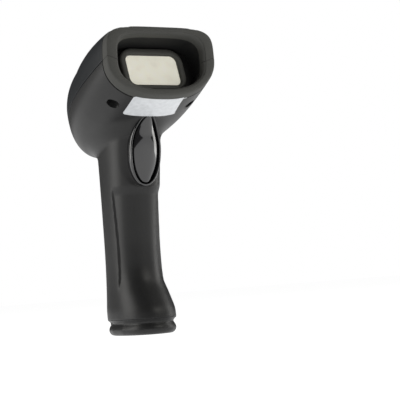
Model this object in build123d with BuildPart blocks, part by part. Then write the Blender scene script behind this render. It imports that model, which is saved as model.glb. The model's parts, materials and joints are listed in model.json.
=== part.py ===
"""Handheld laser barcode scanner, built as a bench-strippable assembly of separate pieces.

Frame: millimetres, +Z up the handle, nose towards -Y, the plane X = 0 is the plane of symmetry.
The origin is on the handle's axis, on the flat face of the butt that the scanner stands on.

The head is described along its own axis, which tips up from the horizontal towards the nose:
"along" runs from the nose back to the rear tip, "rise" is square to it, upwards, and x is sideways.
"""
import os
from math import copysign, cos, pi, radians, sin

from build123d import *

os.makedirs("parts", exist_ok=True)

# ---- overall form -------------------------------------------------------------------------
head_tilt = radians(18.8)      # the head's axis points this far above the horizontal
nose_y = -53.0                 # the nose face is a vertical plane
nose_z = 153.8                 # height of the parting plane at the nose
head_length = 99.5             # nose to rear tip, along the head's axis
head_half_width = 35.3         # widest half-width, at the head's crest
nose_half_width = 34.0
crown_rise = 24.6              # top of the head above the parting plane, at its crest
nose_crown = 18.0
belly_drop = 23.0              # underside of the head below the parting plane, at its crest
nose_belly = 19.4
side_crest = 28.0              # where along the head each of the three is greatest
crown_crest = 54.0
belly_crest = 52.0
side_power = 2.1               # how late and square each of the three falls away to the tail
crown_fall = 1.9
belly_fall = 3.6
nose_crown_power = 4.4         # squareness of the head's sections, 2 is an ellipse
nose_belly_power = 2.25
rear_power = 2.6
power_blend = 45.0             # the sections change from the nose's form to the rear's by here
wall = 2.4                     # shell thickness

# ---- handle and butt ----------------------------------------------------------------------
butt_seam = 9.0                # height of the seam between the butt cap and the handle
handle_top = 128.0             # the handle's solid form ends inside the head
# height, half-width, back face, front face
handle_stations = [
    (9.0, 17.0, 20.3, -31.0),
    (14.0, 17.0, 20.4, -30.0),
    (20.0, 16.4, 20.0, -26.5),
    (26.0, 15.8, 19.5, -22.6),
    (35.0, 15.3, 18.9, -19.5),
    (48.0, 15.1, 18.4, -18.6),
    (64.0, 15.3, 18.2, -19.6),
    (84.0, 15.8, 18.0, -22.0),
    (100.0, 16.3, 18.0, -24.5),
    (114.0, 17.0, 18.2, -26.6),
    (handle_top, 17.6, 18.6, -28.4),
]
oval_power = 2.3               # roundness of the handle's oval sections, 2 is an ellipse
grip_recess = 1.0              # depth of the stepped-in finger face below the trigger
grip_recess_span = (30.0, 82.0)
grip_recess_edge = -8.0        # the step runs down the handle's sides at this y

# ---- fits ---------------------------------------------------------------------------------
gap = 0.3                      # between moving bodies
fit = 0.1                      # between fixed pieces that slip into each other
running = 0.05                 # radial clearance of a shaft in its bore
groove = 0.6                   # open seam behind the nose bumper

# ---- nose ---------------------------------------------------------------------------------
bumper_depth = 5.0
bumper_tongue = 3.6
tongue_gap = 0.35
mouth_width = 53.5
mouth_height = 29.0
mouth_rise = -1.6
mouth_over_power = 4.0         # the mouth is square-shouldered above
mouth_under_power = 2.5        # and rounder below
tunnel_wall = 1.4
tunnel_end = 17.4
bezel_width = 40.0
bezel_height = 26.4
bezel_corner = 9.0
bezel_rise = -0.9
bezel_front = 11.5
bezel_flange = 1.2
bezel_flange_thick = 1.4
window_width = 32.4
window_height = 19.0
window_corner = 4.0
window_rise = -1.5
window_land = 1.5             # the pane is this much larger than its opening all round
pane_front = 13.2
pane_thick = 1.6
gasket_thick = 1.0

# ---- trigger ------------------------------------------------------------------------------
trigger_low = 86.5
trigger_high = 124.0
trigger_half_width = 8.2
trigger_foot_y = -22.2         # the handle's front face at the trigger's foot
trigger_lean = 0.155           # that face leans forward by this much of its height
curl_from = 112.0              # the tip starts to reach forward at this height
trigger_tip_power = 1.75       # the outline is pointed above and round below
trigger_foot_power = 2.2
trigger_gap = 0.4
trigger_foot_gap = 0.9         # the foot swings down a little as it goes in
trigger_back = -19.0
bezel_ring = 1.9
pivot_y = -23.0
pivot_z = 118.5
pivot_radius = 0.9
arm_inner = 4.2
arm_outer = 5.6
trigger_boss = 3.9
switch_y = -15.0
switch_z = 109.5
plunger_stroke = 0.9
plunger_out = 1.4              # how far the plunger stands out of the switch at rest
spring_width = 4.0
slot_reach = 25.3              # the arms' slots reach this far forward
plunger_deep = 2.2             # how far the plunger stays inside the switch
plunger_width = 3.0
nib_side = 3.0
plunger_height = 2.0
switch_side = 6.4
switch_board_low = 97.0
switch_board_height = 24.5
spring_thick = 0.3
hole_from = -17.0              # the trigger's hole runs between these two y
hole_to = -36.0
tip_relief = 3.0               # the tip is cut away this far above the pivot, to clear the ring
finger_curl = 4.0              # the trigger's tip reaches forward onto the head's underside
trigger_proud = 2.6
bezel_proud = 0.9
bezel_back = -18.0
trigger_bulge = 3.8            # how far the trigger's sides fall back from its middle
arm_low = 115.5
arm_front = -24.6
arm_high = 121.5
switch_board_y = -9.6
switch_board_thick = 1.4
pin_half_length = 6.4

# ---- fasteners ----------------------------------------------------------------------------
screw_shank = 1.25
screw_head = 2.4
screw_head_depth = 1.6
butt_screw_seat = 3.0
butt_rib = 2.0                 # the front boss is tied to the handle's wall by a rib
cover_screw_x = 24.5
cover_screw_along = 23.0
cover_screw_well = 3.2
screw_bite = 9.0               # how far the cover screws reach above the parting plane
screw_seat = -7.0              # the cover screws' heads sit at this rise, deep in their wells

# ---- engine -------------------------------------------------------------------------------
engine_front = 33.0
engine_length = 33.0
engine_half_width = 19.0
engine_floor = -12.0
engine_rim = 4.0
engine_wall = 2.0
engine_board_thick = 1.6
lug_x = 21.6
lug_radius = 2.6
lug_in = 4.5
mount_height = 2.0
mirror_along = 53.0
mirror_axis = 56.1
beam_rise = -2.0
mirror_back = 54.6
mirror_thick = 1.2
mirror_pin_radius = 0.6
laser_at = (13.8, 39.2)
laser_radius = 3.0
laser_length = 8.6
laser_seat = (11.4, 41.6)
laser_seat_side = 5.0
lens_inset = 0.8               # the lens is this much smaller than the barrel, in radius
lens_recess = 2.0
lens_thick = 1.2
mirror_drop = 5.5              # the carrier reaches this far below and above the beam
mirror_reach = 5.0
carrier_width = 5.0
collector_width = 20.0
collector_height = 9.5
facet_width = 6.2              # the small flat mirror let into the collecting mirror
facet_height = 5.2
facet_thick = 1.0
facet_recess = 0.6
magnet_side = 4.0
magnet_thick = 1.6
coil_radius = 5.2
coil_bore = 2.2
coil_gap = 1.0
photodiode_x = -14.2
photodiode_width = 5.0
photodiode_height = 6.0
photodiode_thick = 2.0
scan_slot_width = 22.0         # the beam leaves through this slot in the chassis's front wall
connector_width = 14.0
connector_length = 3.4
connector_height = 2.2
flex_thick = 0.3

# ---- boards in the handle and under the crown ---------------------------------------------
board_y = 11.0
board_thick = 1.6
board_half_width = 8.0         # it stands in the narrow back of the handle
board_low = 17.0
board_high = 98.0
standoff_radius = 2.2
standoff_x = 4.8
standoff_heights = (26.0, 88.0)
board_screw_length = 4.6
crown_board_rise = 10.9
crown_board_along = 54.5
crown_board_width = 22.0
crown_board_length = 41.0
crown_post_x = 8.5
crown_post_alongs = (37.0, 54.5)
crown_screw_length = 6.0
led_size = (2.0, 1.4, 1.2)      # width, length, height
pipe_lift = 1.5                # the light pipe clears the lamps by the rest of this
pipe_width = 5.0
pipe_length = 12.0
pipe_thick = 1.4
# width, height, thickness and place of each chip on the main board
chips = [
    (9.0, 9.0, 1.4, 0.0, 62.0),
    (7.0, 5.0, 1.2, -3.5, 75.0),
    (5.0, 4.0, 1.0, 5.0, 49.0),
    (3.2, 2.5, 0.9, -6.0, 41.0),
]
flex_low = 94.0
flex_along = 60.0
flex_width = 12.0
beeper_along = 44.0
beeper_radius = 6.0
beeper_height = 8.0

# ---- top cover trim -----------------------------------------------------------------------
badge_along = 13.3
badge_width = 20.5
badge_length = 12.0
badge_thick = 1.2
badge_stand = 0.5
badge_inlay_width = 15.4
badge_inlay_length = 7.0
badge_inlay_thick = 0.3
panel_front = 28.0
panel_rear = 72.0
panel_front_radius = 6.8
panel_rear_radius = 4.2
panel_sink = 0.5
panel_thick = 0.9
grille_front = 37.5
grille_rear = 54.0
grille_front_radius = 4.6
grille_rear_radius = 2.3
grille_slots = 5
grille_pitch = 2.6
grille_slot_width = 0.9
grille_rake = radians(32)
lamp_places = [(61.5, 1.8), (65.3, 1.5), (68.4, 1.1)]

# ---- rating label, left blank ---------------------------------------------------------------
label_along = 19.8
label_width = 34.0
label_length = 17.5
label_thick = 0.15

# ---- butt cap -------------------------------------------------------------------------------
butt_floor = 2.4
butt_edge = 3.2                # the butt's bottom edge is rounded to this radius
butt_draft = 0.5               # the butt narrows by this much from its seam to its foot
spigot_slack = 0.6
spigot_height = 3.0
spigot_wall = 1.5

# ---- inlet --------------------------------------------------------------------------------
jack_y = 4.2
jack_width = 15.4
jack_depth = 13.6
jack_low = 2.5
jack_height = 18.0
socket_width = 11.8
socket_depth = 6.8
socket_height = 13.0
contact_pitch = 1.02
contacts = 10
contact_side = 0.5
contact_setback = 5.0          # the contacts start this far inside the socket

nose_reach = 12.0              # the head's blank runs this far past the nose before it is cut
tail_trim = 0.5


def head_point(x, along, rise):
    """A point of the head in the part's frame."""
    y = nose_y + along * cos(head_tilt) + rise * sin(head_tilt)
    z = nose_z - along * sin(head_tilt) + rise * cos(head_tilt)
    return Vector(x, y, z)


back_way = Vector(0, cos(head_tilt), -sin(head_tilt))
up_way = Vector(0, sin(head_tilt), cos(head_tilt))


def across(along, rise=0.0):
    """Plane square to the head's axis, looking back: local x sideways, local y upwards."""
    return Plane(origin=head_point(0, along, rise), x_dir=(-1, 0, 0), z_dir=back_way)


def level(rise):
    """Plane parallel to the parting plane: local x sideways, local y along the head."""
    return Plane(origin=head_point(0, 0, rise), x_dir=(1, 0, 0), z_dir=up_way)


def swell(along, crest, power, at_nose, at_crest, tail):
    """A size along the head: a parabola up to its crest, then a superellipse down to the tail."""
    if along < crest:
        return at_crest - (at_crest - at_nose) * ((crest - along) / crest) ** 2
    fall = min((along - crest) / (tail - crest), 1.0)
    return at_crest * (1 - fall ** power) ** (1 / power)


def side_at(along, inset=0.0):
    tail = head_length - inset
    return swell(along, side_crest, side_power, nose_half_width - inset, head_half_width - inset, tail)


def crown_at(along, inset=0.0):
    return swell(along, crown_crest, crown_fall, nose_crown - inset, crown_rise - inset, head_length - inset)


def belly_at(along, inset=0.0):
    return swell(along, belly_crest, belly_fall, nose_belly - inset, belly_drop - inset, head_length - inset)


def arch(half_width, height, power, count=5):
    """Points of a half superellipse, from one side over the top to the other."""
    points = []
    for step in range(2 * count + 1):
        turn = pi * step / (2 * count)
        size = (abs(cos(turn)) ** power + abs(sin(turn)) ** power) ** (-1 / power)
        points.append((half_width * size * cos(turn), height * size * sin(turn)))
    return points


def head_blank(inset=0.0):
    """The head's outer form, pulled in all round by the inset, running past the nose."""
    tail = head_length - inset - tail_trim
    shares = [0.0, 0.16, 0.32, 0.47, 0.6, 0.71, 0.8, 0.87, 0.925, 0.965, 0.988, 1.0]
    with BuildPart() as blank:
        for share in shares:
            along = -nose_reach + (tail + nose_reach) * share
            blend = max(0.0, min(1.0, along / power_blend))
            crown_power = nose_crown_power + (rear_power - nose_crown_power) * blend
            belly_power = nose_belly_power + (rear_power - nose_belly_power) * blend
            half = side_at(along, inset)
            over = arch(half, crown_at(along, inset), crown_power)
            under = arch(half, belly_at(along, inset), belly_power)
            with BuildSketch(across(along)):
                with BuildLine():
                    Spline(over, tangents=[(0, 1), (0, -1)])
                    Spline([(x, -y) for x, y in under], tangents=[(0, -1), (0, 1)])
                make_face()
        loft()
    return blank.part


def oval_section(height, half_width, back, front):
    """One oval of the handle as a filled sketch at its height."""
    middle = (back + front) / 2
    rim = arch(half_width, (back - front) / 2, oval_power)
    with BuildSketch(Plane.XY.offset(height)) as oval:
        with BuildLine():
            Spline([(x, middle + y) for x, y in rim], tangents=[(0, 1), (0, -1)])
            Spline([(x, middle - y) for x, y in rim], tangents=[(0, -1), (0, 1)])
        make_face()
    return oval.sketch


def seam_oval(low, high, inset):
    """A straight block in the outline of the handle's foot, pulled in by the inset."""
    half_width, back, front = handle_stations[0][1:]
    with BuildPart() as oval:
        with BuildSketch(Plane.XY.offset(low)):
            add(oval_section(0, half_width - inset, back - inset, front + inset))
        extrude(amount=high - low)
    return oval.part


def handle_blank(inset=0.0):
    """The handle's outer form from the butt seam up into the head, pulled in by the inset."""
    with BuildPart() as blank:
        for height, half_width, back, front in handle_stations:
            add(oval_section(height, half_width - inset, back - inset, front + inset))
        loft()
    return blank.part


def slab(y_from, y_to):
    """A block across the whole nose between two vertical planes."""
    with BuildPart() as block:
        with BuildSketch(Plane.XZ.offset(-y_to)):
            with Locations((0, nose_z)):
                Rectangle(120, 120)
        extrude(amount=y_to - y_from)
    return block.part


def half_space(above):
    """Everything on one side of the parting plane."""
    with BuildPart() as block:
        with BuildSketch(level(0)):
            with Locations((0, 50)):
                Rectangle(140, 200)
        extrude(amount=90 if above else -230)
    return block.part


def mouth_prism(grow, front, back):
    """The mouth's outline, square-shouldered above and round below, carried along the head's axis."""
    half = mouth_width / 2 + grow
    over = arch(half, mouth_height / 2 + grow, mouth_over_power)
    under = arch(half, mouth_height / 2 + grow, mouth_under_power)
    with BuildPart() as prism:
        with BuildSketch(across(front, mouth_rise)):
            with BuildLine():
                Spline(over, tangents=[(0, 1), (0, -1)])
                Spline([(x, -y) for x, y in under], tangents=[(0, -1), (0, 1)])
            make_face()
        extrude(amount=back - front)
    return prism.part


def rounded_prism(width, height, corner, front, back, rise):
    """A rounded rectangle carried along the head's axis."""
    with BuildPart() as prism:
        with BuildSketch(across(front, rise)):
            RectangleRounded(width, height, corner)
        extrude(amount=back - front)
    return prism.part


def teardrop_prism(front, front_radius, rear, rear_radius, grow, low, high):
    """Two rounds and the hull between them, seen from above the crown, as a tall prism."""
    with BuildPart() as prism:
        with BuildSketch(level(low)):
            with Locations((0, front + front_radius)):
                Circle(front_radius + grow)
            with Locations((0, rear - rear_radius)):
                Circle(rear_radius + grow)
            make_hull()
        extrude(amount=high - low)
    return prism.part


def disc(plane, radius, length, places=((0, 0),)):
    """One or more plain cylinders standing on a plane."""
    with BuildPart() as posts:
        with BuildSketch(plane):
            with Locations(*places):
                Circle(radius)
        extrude(amount=length)
    return posts.part


def block(plane, width, depth, height, places=((0, 0),)):
    """One or more plain blocks standing on a plane, width along its x and depth along its y."""
    with BuildPart() as blocks:
        with BuildSketch(plane):
            with Locations(*places):
                Rectangle(width, depth)
        extrude(amount=height)
    return blocks.part


def finish(builder, name):
    """Label a finished piece and write it out."""
    builder.part.label = name
    export_step(builder.part, f"parts/{name}.step")


def trigger_front(height):
    """The handle's front line behind the trigger, which curls forward under the head at the top."""
    curl = finger_curl * max(0.0, (height - curl_from) / (trigger_high - curl_from)) ** 2
    return trigger_foot_y - trigger_lean * (height - trigger_low) - curl


def trigger_share(height, grow):
    """How far a height is from the trigger's middle, from -1 at its foot to 1 at its tip."""
    middle = (trigger_low + trigger_high) / 2
    return (height - middle) / ((trigger_high - trigger_low) / 2 + grow)


def trigger_side(height, grow):
    """Half-width of the trigger's pointed oval at a height, grown all round."""
    share = trigger_share(height, grow)
    power = trigger_tip_power if share > 0 else trigger_foot_power
    return (trigger_half_width + grow) * (1 - min(abs(share), 1.0) ** power) ** (1 / power)


def trigger_heights(grow, count=14):
    """Heights of the trigger's sections, closer together towards its ends."""
    middle = (trigger_low + trigger_high) / 2
    half = (trigger_high - trigger_low) / 2 + grow
    return [middle - 0.985 * half * cos(pi * step / count) for step in range(count + 1)]


def trigger_blank(grow, proud, dome, back):
    """The trigger's rounded form: level sections with a bulging front and a flat back."""
    with BuildPart() as blank:
        for height in trigger_heights(grow):
            side = trigger_side(height, grow)
            swell_out = proud + dome * (1 - trigger_share(height, grow) ** 2)
            front = trigger_front(height) - swell_out
            bulge = min(trigger_bulge, 0.75 * side)
            shoulder = front + bulge
            with BuildSketch(Plane.XY.offset(height)):
                with Locations((0, shoulder)):
                    Ellipse(side, bulge)
                with Locations((0, (shoulder + back) / 2)):
                    Rectangle(2 * side, back - shoulder)
        loft(ruled=True)
        behind = block(Plane.XY.offset(trigger_low - 5), 40, 40, 60, [(0, back + 20)])
        add(behind, mode=Mode.SUBTRACT)
    return blank.part


def trigger_hole(grow, foot=0.0):
    """Prism through the handle's front in the trigger's outline, grown all round."""
    heights = trigger_heights(grow, 8)
    right = [(trigger_side(height, grow), height) for height in heights]
    right[0] = (right[0][0], right[0][1] - foot)
    with BuildPart() as prism:
        with BuildSketch(Plane.XZ.offset(-hole_from)):
            with BuildLine():
                Spline(right)
                Spline([(-x, height) for x, height in right])
                Line(right[0], (-right[0][0], right[0][1]))
                Line(right[-1], (-right[-1][0], right[-1][1]))
            make_face()
        extrude(amount=hole_from - hole_to)
    return prism.part


# ---- shared blanks ------------------------------------------------------------------------
outer_head = head_blank()
inner_head = head_blank(wall)
sunk_head = head_blank(panel_sink)
floor_head = head_blank(panel_sink + panel_thick)
outer_handle = handle_blank()
inner_handle = handle_blank(wall)
bumper_back = nose_y + bumper_depth
shell_front = bumper_back + groove
upper_half = half_space(True)
lower_half = half_space(False)
cover_screws_at = [(side * cover_screw_x, cover_screw_along) for side in (1, -1)]
crown_posts = [(side * crown_post_x, along) for side in (1, -1) for along in crown_post_alongs]
crown_board_top = crown_board_rise + board_thick
lug_offsets = (lug_in, engine_length - lug_in)
lugs_at = [(side * lug_x, engine_front + offset) for side in (1, -1) for offset in lug_offsets]
standoffs_at = [(side * standoff_x, height) for side in (1, -1) for height in standoff_heights]
butt_screws_at = [(0, -21.5), (10.9, 6.0), (-10.9, 6.0)]
butt_rib_at = [(0, -26.0)]


# ---- top cover ----------------------------------------------------------------------------
def crown_frame(along):
    """Plane lying on the crown's ridge: local x sideways, local y back along the ridge."""
    slope = crown_at(along + 0.5) - crown_at(along - 0.5)
    length = (1 + slope ** 2) ** 0.5
    return Plane(
        origin=head_point(0, along, crown_at(along)),
        x_dir=(1, 0, 0),
        z_dir=(up_way - back_way * slope) / length,
    )


badge_plane = crown_frame(badge_along)
with BuildPart() as panel_pocket:
    add(teardrop_prism(panel_front, panel_front_radius, panel_rear, panel_rear_radius, fit, 10, 40))
    add(floor_head, mode=Mode.SUBTRACT)
with BuildPart() as crown_bosses:
    add(disc(level(0), screw_head + 1.2, 40, cover_screws_at))
    add(disc(level(crown_board_top), screw_shank + 1.0, 30, crown_posts))
    add(outer_head, mode=Mode.INTERSECT)
with BuildPart() as upper_shell:
    add(outer_head)
    add(inner_head, mode=Mode.SUBTRACT)
    add(upper_half, mode=Mode.INTERSECT)
    add(slab(shell_front, 80), mode=Mode.INTERSECT)
    add(crown_bosses.part)
    add(panel_pocket.part, mode=Mode.SUBTRACT)
    add(disc(level(-1), screw_shank, screw_bite + 1, cover_screws_at), mode=Mode.SUBTRACT)
    crown_thread = disc(level(crown_board_rise), screw_shank, crown_screw_length + gap, crown_posts)
    add(crown_thread, mode=Mode.SUBTRACT)
    # sound slots under the grille and holes for the lamps' light pipe
    sound_places = [(0, grille_front + 4.5 + 3.2 * step) for step in range(3)]
    add(block(level(18), 4.4, 1.6, 12, sound_places), mode=Mode.SUBTRACT)
    for along, radius in lamp_places:
        add(disc(level(15), radius + fit, 15, [(0, along)]), mode=Mode.SUBTRACT)
    # seat for the badge
    with BuildSketch(badge_plane.offset(-(badge_thick - badge_stand))):
        Ellipse(badge_width / 2 + fit, badge_length / 2 + fit)
    extrude(amount=5, mode=Mode.SUBTRACT)
finish(upper_shell, "upper_shell")

with BuildPart() as badge_plate:
    with BuildSketch(badge_plane.offset(-(badge_thick - badge_stand))):
        Ellipse(badge_width / 2, badge_length / 2)
    extrude(amount=badge_thick)
    chamfer(badge_plate.faces().sort_by(Axis(badge_plane.origin, badge_plane.z_dir))[-1].edges(), 0.3)
    with BuildSketch(badge_plane.offset(badge_stand)):
        SlotOverall(badge_inlay_width, badge_inlay_length)
    extrude(amount=-badge_inlay_thick, mode=Mode.SUBTRACT)
finish(badge_plate, "badge_plate")

with BuildPart() as badge_inlay:
    with BuildSketch(badge_plane.offset(badge_stand)):
        SlotOverall(badge_inlay_width, badge_inlay_length)
    extrude(amount=-badge_inlay_thick)
finish(badge_inlay, "badge_inlay")

with BuildPart() as indicator_panel:
    add(teardrop_prism(panel_front, panel_front_radius, panel_rear, panel_rear_radius, 0, 10, 40))
    add(sunk_head, mode=Mode.INTERSECT)
    add(floor_head, mode=Mode.SUBTRACT)
    add(
        teardrop_prism(grille_front, grille_front_radius, grille_rear, grille_rear_radius, fit, 10, 40),
        mode=Mode.SUBTRACT,
    )
    for along, radius in lamp_places:
        add(disc(level(10), radius + fit, 30, [(0, along)]), mode=Mode.SUBTRACT)
finish(indicator_panel, "indicator_panel")

with BuildPart() as beeper_grille:
    add(teardrop_prism(grille_front, grille_front_radius, grille_rear, grille_rear_radius, 0, 10, 40))
    add(sunk_head, mode=Mode.INTERSECT)
    add(floor_head, mode=Mode.SUBTRACT)
    for step in range(grille_slots):
        along = grille_front + 3.6 + grille_pitch * step
        for side in (1, -1):
            arm = Plane(
                origin=head_point(side * 0.95, along, 10),
                x_dir=(
                    cos(grille_rake),
                    side * back_way.Y * sin(grille_rake),
                    side * back_way.Z * sin(grille_rake),
                ),
                z_dir=up_way,
            )
            with BuildSketch(arm):
                Rectangle(2.2, grille_slot_width)
            extrude(amount=30, mode=Mode.SUBTRACT)
finish(beeper_grille, "beeper_grille")

with BuildPart() as indicator_board:
    with BuildSketch(level(crown_board_rise)):
        with Locations((0, crown_board_along)):
            RectangleRounded(crown_board_width, crown_board_length, 2)
        with Locations(*crown_posts):
            Circle(screw_shank + fit, mode=Mode.SUBTRACT)
    extrude(amount=board_thick)
finish(indicator_board, "indicator_board")

with BuildPart() as beeper:
    with BuildSketch(level(crown_board_top)):
        with Locations((0, beeper_along)):
            Circle(beeper_radius)
    extrude(amount=beeper_height)
    fillet(beeper.edges().filter_by(GeomType.CIRCLE).sort_by(Axis(Vector(0, 0, 0), up_way))[-1], 0.6)
    with BuildSketch(level(crown_board_top + beeper_height)):
        with Locations((0, beeper_along)):
            Circle(1.2)
    extrude(amount=-2, mode=Mode.SUBTRACT)
finish(beeper, "beeper")

with BuildPart() as indicator_leds:
    add(block(level(crown_board_top), *led_size, [(0, along) for along, radius in lamp_places]))
finish(indicator_leds, "indicator_leds")

with BuildPart() as light_pipe:
    pipe_middle = lamp_places[1][0]
    add(block(level(crown_board_top + pipe_lift), pipe_width, pipe_length, pipe_thick, [(0, pipe_middle)]))
    for along, radius in lamp_places:
        add(disc(level(crown_board_top + pipe_lift), radius, 20, [(0, along)]))
    leg = 1.2
    legs_at = [(side * (pipe_width - leg) / 2, pipe_middle) for side in (1, -1)]
    add(block(level(crown_board_top), leg, pipe_length, pipe_lift + 0.5, legs_at))
    add(sunk_head, mode=Mode.INTERSECT)
finish(light_pipe, "light_pipe")

with BuildPart() as indicator_screws:
    add(disc(level(crown_board_rise - screw_head_depth), screw_head, screw_head_depth, crown_posts))
    add(disc(level(crown_board_rise), screw_shank, crown_screw_length, crown_posts))
finish(indicator_screws, "indicator_screws")

# ---- head underside and handle, one hollow moulding ---------------------------------------
with BuildPart() as lower_bosses:
    add(disc(level(-40), cover_screw_well + 1.9, 40, cover_screws_at))
    add(disc(level(-40), screw_shank + 1.6, 40 + engine_floor - mount_height, lugs_at))
    add(outer_head, mode=Mode.INTERSECT)
with BuildPart() as handle_bosses:
    add(disc(Plane.XZ.offset(-20), standoff_radius, 20 - board_y - board_thick, standoffs_at))
    add(disc(Plane.XY.offset(butt_seam), screw_shank + 1.5, 7.0, butt_screws_at))
    add(block(Plane.XY.offset(butt_seam), butt_rib, 7.0, 7.0, butt_rib_at))
    add(outer_handle, mode=Mode.INTERSECT)
with BuildPart() as grip_step:
    add(outer_handle)
    add(handle_blank(grip_recess), mode=Mode.SUBTRACT)
    add(
        block(
            Plane.XY.offset(grip_recess_span[0]), 60, 60,
            grip_recess_span[1] - grip_recess_span[0], [(0, grip_recess_edge - 30)],
        ),
        mode=Mode.INTERSECT,
    )
with BuildPart() as lower_shell:
    add(outer_head)
    add(lower_half, mode=Mode.INTERSECT)
    add(slab(shell_front, 80), mode=Mode.INTERSECT)
    add(outer_handle)
    add(inner_head, mode=Mode.SUBTRACT)
    add(inner_handle, mode=Mode.SUBTRACT)
    add(lower_bosses.part)
    add(handle_bosses.part)
    add(grip_step.part, mode=Mode.SUBTRACT)
    add(trigger_hole(bezel_ring + fit), mode=Mode.SUBTRACT)
    add(disc(level(-40), cover_screw_well, 40 + screw_seat, cover_screws_at), mode=Mode.SUBTRACT)
    add(disc(level(-20), screw_shank + fit, 21, cover_screws_at), mode=Mode.SUBTRACT)
    add(disc(level(engine_floor - mount_height - 5), screw_shank, 6, lugs_at), mode=Mode.SUBTRACT)
    # the standoffs' holes are blind, so that the back of the handle stays whole
    hole_end = board_y + board_screw_length + gap
    add(disc(Plane.XZ.offset(-hole_end), screw_shank, hole_end - board_y, standoffs_at), mode=Mode.SUBTRACT)
    add(disc(Plane.XY.offset(butt_seam - 1), screw_shank, 7, butt_screws_at), mode=Mode.SUBTRACT)
finish(lower_shell, "lower_shell")

with BuildPart() as cover_screws:
    add(disc(level(screw_seat - screw_head_depth), screw_head, screw_head_depth, cover_screws_at))
    add(disc(level(screw_seat), screw_shank, screw_bite - screw_seat - 1, cover_screws_at))
finish(cover_screws, "cover_screws")

with BuildPart() as rating_label:
    with BuildSketch(level(-40)):
        with Locations((0, label_along)):
            RectangleRounded(label_width, label_length, 1.5)
    extrude(amount=30)
    add(head_blank(-label_thick), mode=Mode.INTERSECT)
    add(outer_head, mode=Mode.SUBTRACT)
finish(rating_label, "rating_label")

# ---- butt cap -----------------------------------------------------------------------------
with BuildPart() as butt_cap:
    half_width, back, front = handle_stations[0][1:]
    for step in range(6):
        turn = radians(90) * step / 5
        height = butt_edge * (1 - cos(turn))
        inset = butt_edge * (1 - sin(turn)) + butt_draft
        add(oval_section(height, half_width - inset, back - inset, front + inset))
    add(oval_section(butt_seam, half_width, back, front))
    loft()
    spigot_inset = wall + spigot_slack
    add(seam_oval(butt_seam - 2, butt_seam + spigot_height, spigot_inset))
    hollow = seam_oval(butt_floor, butt_seam + spigot_height, spigot_inset + spigot_wall)
    add(hollow, mode=Mode.SUBTRACT)
    add(disc(Plane.XY.offset(butt_floor - 1), screw_head + 1.0, butt_seam - butt_floor + 1, butt_screws_at))
    room = disc(Plane.XY.offset(butt_seam), screw_shank + 1.5 + gap, 5, butt_screws_at)
    add(room, mode=Mode.SUBTRACT)
    rib_room = block(Plane.XY.offset(butt_seam), butt_rib + 2 * gap, 7.0 + 2 * gap, 5, butt_rib_at)
    add(rib_room, mode=Mode.SUBTRACT)
    # each screw's hole and the pocket for its head are one cutter, which starts below the butt
    for place in butt_screws_at:
        with BuildPart() as cutter:
            add(disc(Plane.XY.offset(-1), screw_shank + fit, butt_seam + 1, [place]))
            add(disc(Plane.XY.offset(-1), screw_head + gap, butt_screw_seat + 1, [place]))
        add(cutter.part, mode=Mode.SUBTRACT)
    jack_floor = Plane.XY.offset(butt_floor)
    jack_room = block(jack_floor, jack_width + 2 * fit, jack_depth + 2 * fit, 20, [(0, jack_y)])
    add(jack_room, mode=Mode.SUBTRACT)
    way_in = block(Plane.XY.offset(-1), socket_width + 1, socket_depth + 1, butt_floor + 2, [(0, jack_y)])
    add(way_in, mode=Mode.SUBTRACT)
finish(butt_cap, "butt_cap")

with BuildPart() as butt_screws:
    head_low = Plane.XY.offset(butt_screw_seat - screw_head_depth)
    add(disc(head_low, screw_head, screw_head_depth, butt_screws_at))
    add(disc(Plane.XY.offset(butt_screw_seat), screw_shank, 11.0, butt_screws_at))
finish(butt_screws, "butt_screws")

# ---- nose ---------------------------------------------------------------------------------
mouth = mouth_prism(0, -20, tunnel_end)
tunnel_form = mouth_prism(tunnel_wall, -5, tunnel_end)
tunnel_room = mouth_prism(tunnel_wall + fit, -5, tunnel_end)
with BuildPart() as bumper_spigot:
    add(head_blank(wall + tongue_gap))
    add(slab(bumper_back, bumper_back + bumper_tongue), mode=Mode.INTERSECT)
    add(tunnel_room, mode=Mode.SUBTRACT)
with BuildPart() as bumper_ring:
    add(outer_head)
    add(slab(nose_y, bumper_back), mode=Mode.INTERSECT)
    add(mouth, mode=Mode.SUBTRACT)
    add(bumper_spigot.part)
for name, half in (("nose_bumper_upper", upper_half), ("nose_bumper_lower", lower_half)):
    with BuildPart() as bumper:
        add(bumper_ring.part)
        add(half, mode=Mode.INTERSECT)
    finish(bumper, name)

with BuildPart() as nose_tunnel:
    add(tunnel_form)
    add(slab(bumper_back, 20), mode=Mode.INTERSECT)
    add(mouth_prism(0, -20, tunnel_end - tunnel_wall), mode=Mode.SUBTRACT)
    add(
        rounded_prism(
            bezel_width + 2 * fit, bezel_height + 2 * fit, bezel_corner + fit, 0, tunnel_end + 1, bezel_rise
        ),
        mode=Mode.SUBTRACT,
    )
finish(nose_tunnel, "nose_tunnel")

pane_width = window_width + 2 * window_land
pane_height = window_height + 2 * window_land
pane_corner = window_corner + window_land
pane_back = pane_front + pane_thick
with BuildPart() as window_bezel:
    add(rounded_prism(bezel_width, bezel_height, bezel_corner, bezel_front, tunnel_end + 0.5, bezel_rise))
    add(
        rounded_prism(
            bezel_width + 2 * bezel_flange, bezel_height + 2 * bezel_flange,
            bezel_corner + bezel_flange, tunnel_end, tunnel_end + bezel_flange_thick, bezel_rise,
        )
    )
    add(
        rounded_prism(window_width, window_height, window_corner, bezel_front - 1, pane_front + 1, window_rise),
        mode=Mode.SUBTRACT,
    )
    add(
        rounded_prism(
            pane_width + 2 * fit,
            pane_height + 2 * fit,
            pane_corner + fit,
            pane_front,
            tunnel_end + 3,
            window_rise,
        ),
        mode=Mode.SUBTRACT,
    )
finish(window_bezel, "window_bezel")

with BuildPart() as scan_window:
    add(rounded_prism(pane_width, pane_height, pane_corner, pane_front, pane_back, window_rise))
finish(scan_window, "scan_window")

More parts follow.
